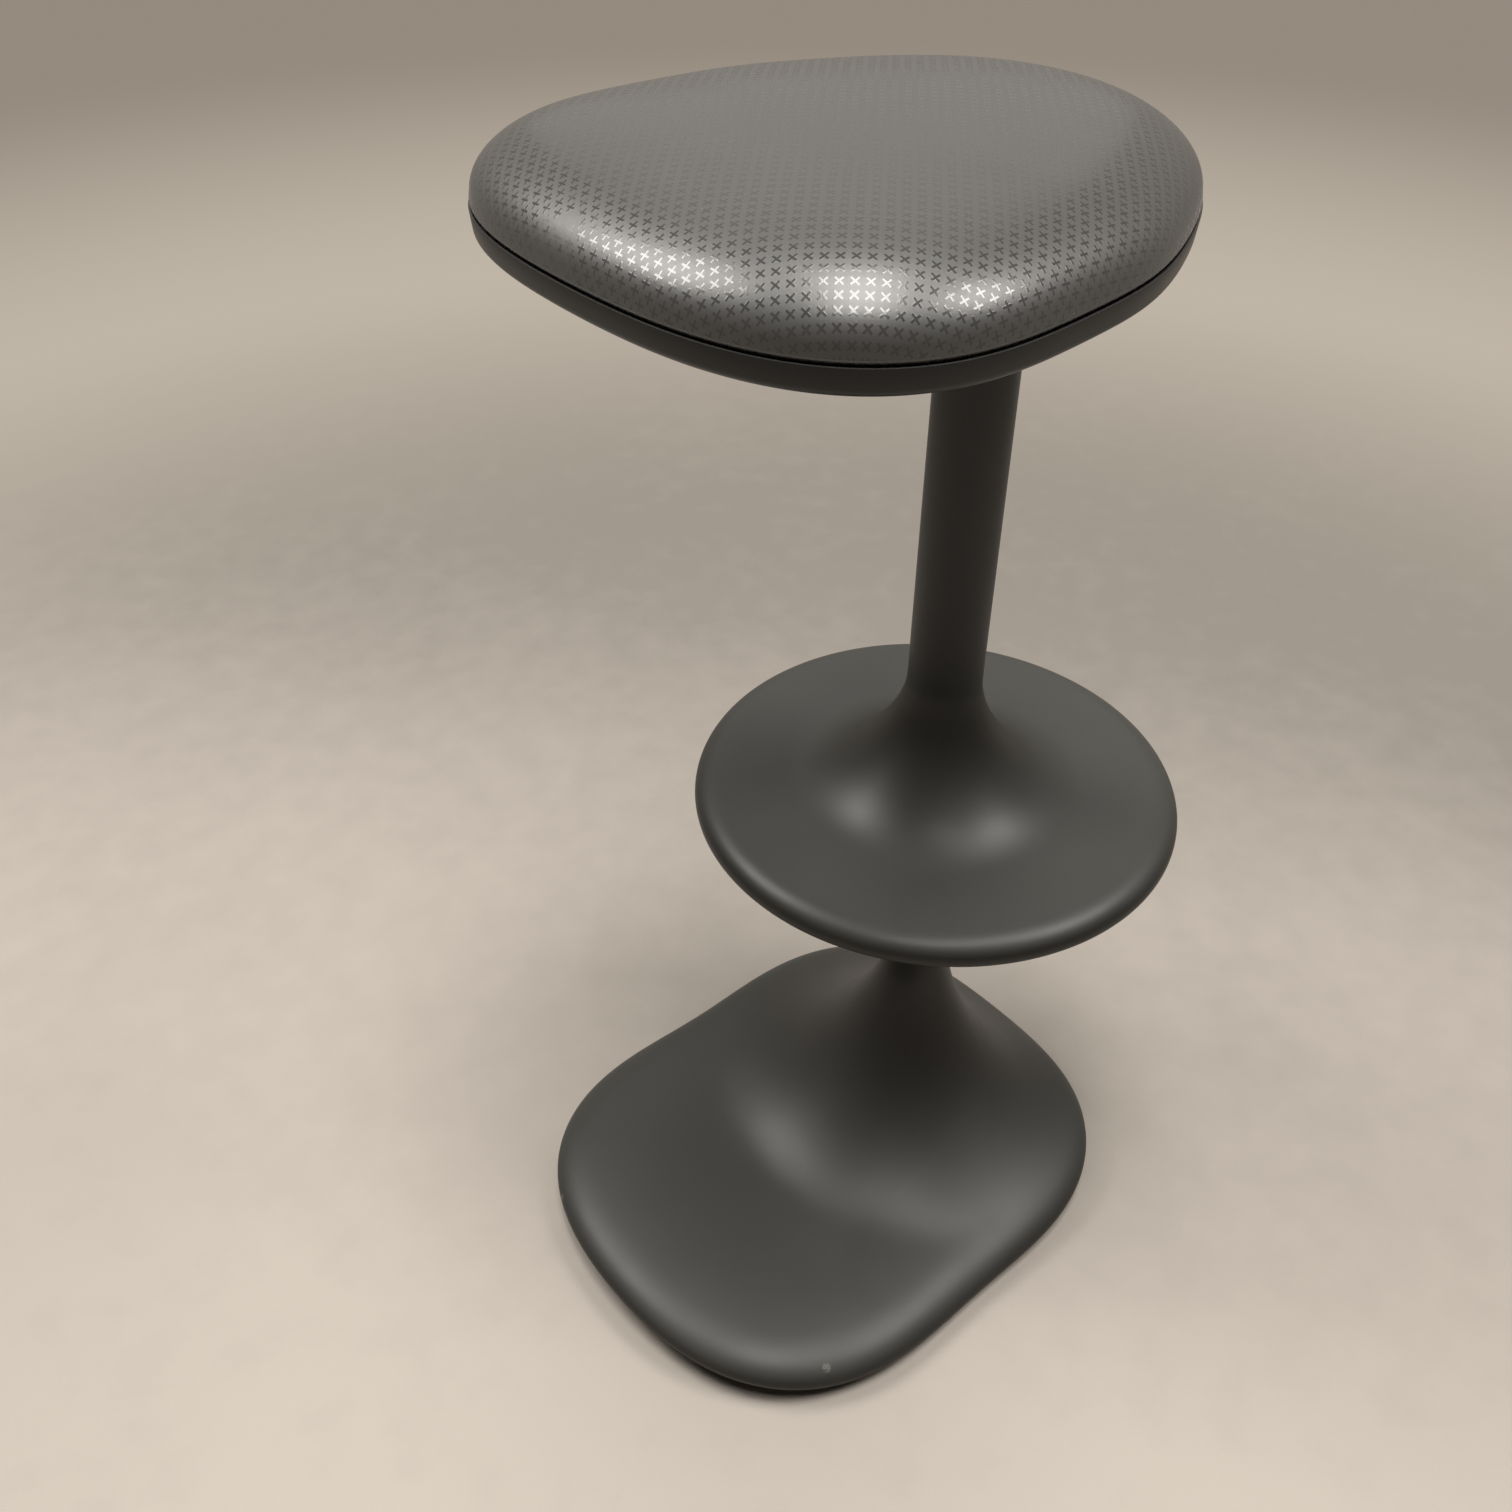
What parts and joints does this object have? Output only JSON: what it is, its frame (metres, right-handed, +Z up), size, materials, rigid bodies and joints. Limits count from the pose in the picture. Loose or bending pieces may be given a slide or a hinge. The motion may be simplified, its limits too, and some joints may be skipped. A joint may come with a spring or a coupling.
{
  "type": "wobble stool",
  "caption": "Tall seat with a padded teardrop cushion, an offset column with a round footrest plate, and a rounded weighted base that tips on a hidden rubber mount.",
  "frame": {"origin": "on the floor, under the middle of the round rubber sole", "axes": "+X forward, the way the sitter faces and the side on which the column stands; +Y to the sitter's left; +Z up"},
  "size_m": [0.4597, 0.34, 0.802],
  "materials": {
    "charcoal_plastic": "fine matte moulded texture",
    "black_plastic": "matte moulded",
    "cushion_cloth": "satin dark grey with a regular grid of small glossy crosses",
    "foam": "open foam",
    "plywood": "bare plywood",
    "steel": "plain steel",
    "fastener": "zinc plated",
    "ballast_iron": "as cast",
    "rubber": "matte"
  },
  "bodies": {
    "foot": {"floor_sole": "rubber", "foot_plate": "steel", "lower_rubber": "rubber"},
    "interleaf": {"interleaf_plate": "steel", "upper_rubber": "rubber"},
    "stool": {"mount_plate": "steel", "mount_screw_1": "fastener", "mount_screw_2": "fastener", "mount_screw_3": "fastener", "mount_screw_4": "fastener", "base_shell": "charcoal_plastic", "bottom_plate": "black_plastic", "bottom_screw_1": "fastener", "bottom_screw_2": "fastener", "bottom_screw_3": "fastener", "bottom_screw_4": "fastener", "bottom_screw_5": "fastener", "bottom_screw_6": "fastener", "ballast": "ballast_iron", "tube_flange": "steel", "flange_bolt_1": "fastener", "flange_bolt_2": "fastener", "flange_bolt_3": "fastener", "flange_bolt_4": "fastener", "core_tube": "steel", "column_moulding": "charcoal_plastic", "footrest_plate": "steel", "footrest_cover": "charcoal_plastic", "footrest_screw_1": "fastener", "footrest_screw_2": "fastener", "footrest_screw_3": "fastener", "footrest_screw_4": "fastener", "seat_pan": "black_plastic", "pan_screw_1": "fastener", "pan_screw_2": "fastener", "pan_screw_3": "fastener", "pan_screw_4": "fastener", "seat_plate": "steel", "seat_screw_1": "fastener", "seat_screw_2": "fastener", "seat_screw_3": "fastener", "seat_screw_4": "fastener", "seat_board": "plywood", "tee_nut_1": "fastener", "tee_nut_2": "fastener", "tee_nut_3": "fastener", "tee_nut_4": "fastener", "seat_foam": "foam", "seat_cover": "cushion_cloth"}
  },
  "joints": [
    {"name": "rock_fore_aft", "type": "hinge", "parent": "foot", "child": "interleaf", "pos_m": [0, 0, 0.00785], "axis": [0, 1, 0], "range_deg": [-4, 4], "stiffness_Nm_per_rad": 900, "deforming": ["lower_rubber"]},
    {"name": "rock_sideways", "type": "hinge", "parent": "interleaf", "child": "stool", "pos_m": [0, 0, 0.01445], "axis": [1, 0, 0], "range_deg": [-1.5, 1.5], "stiffness_Nm_per_rad": 900, "deforming": ["upper_rubber"]}
  ]
}
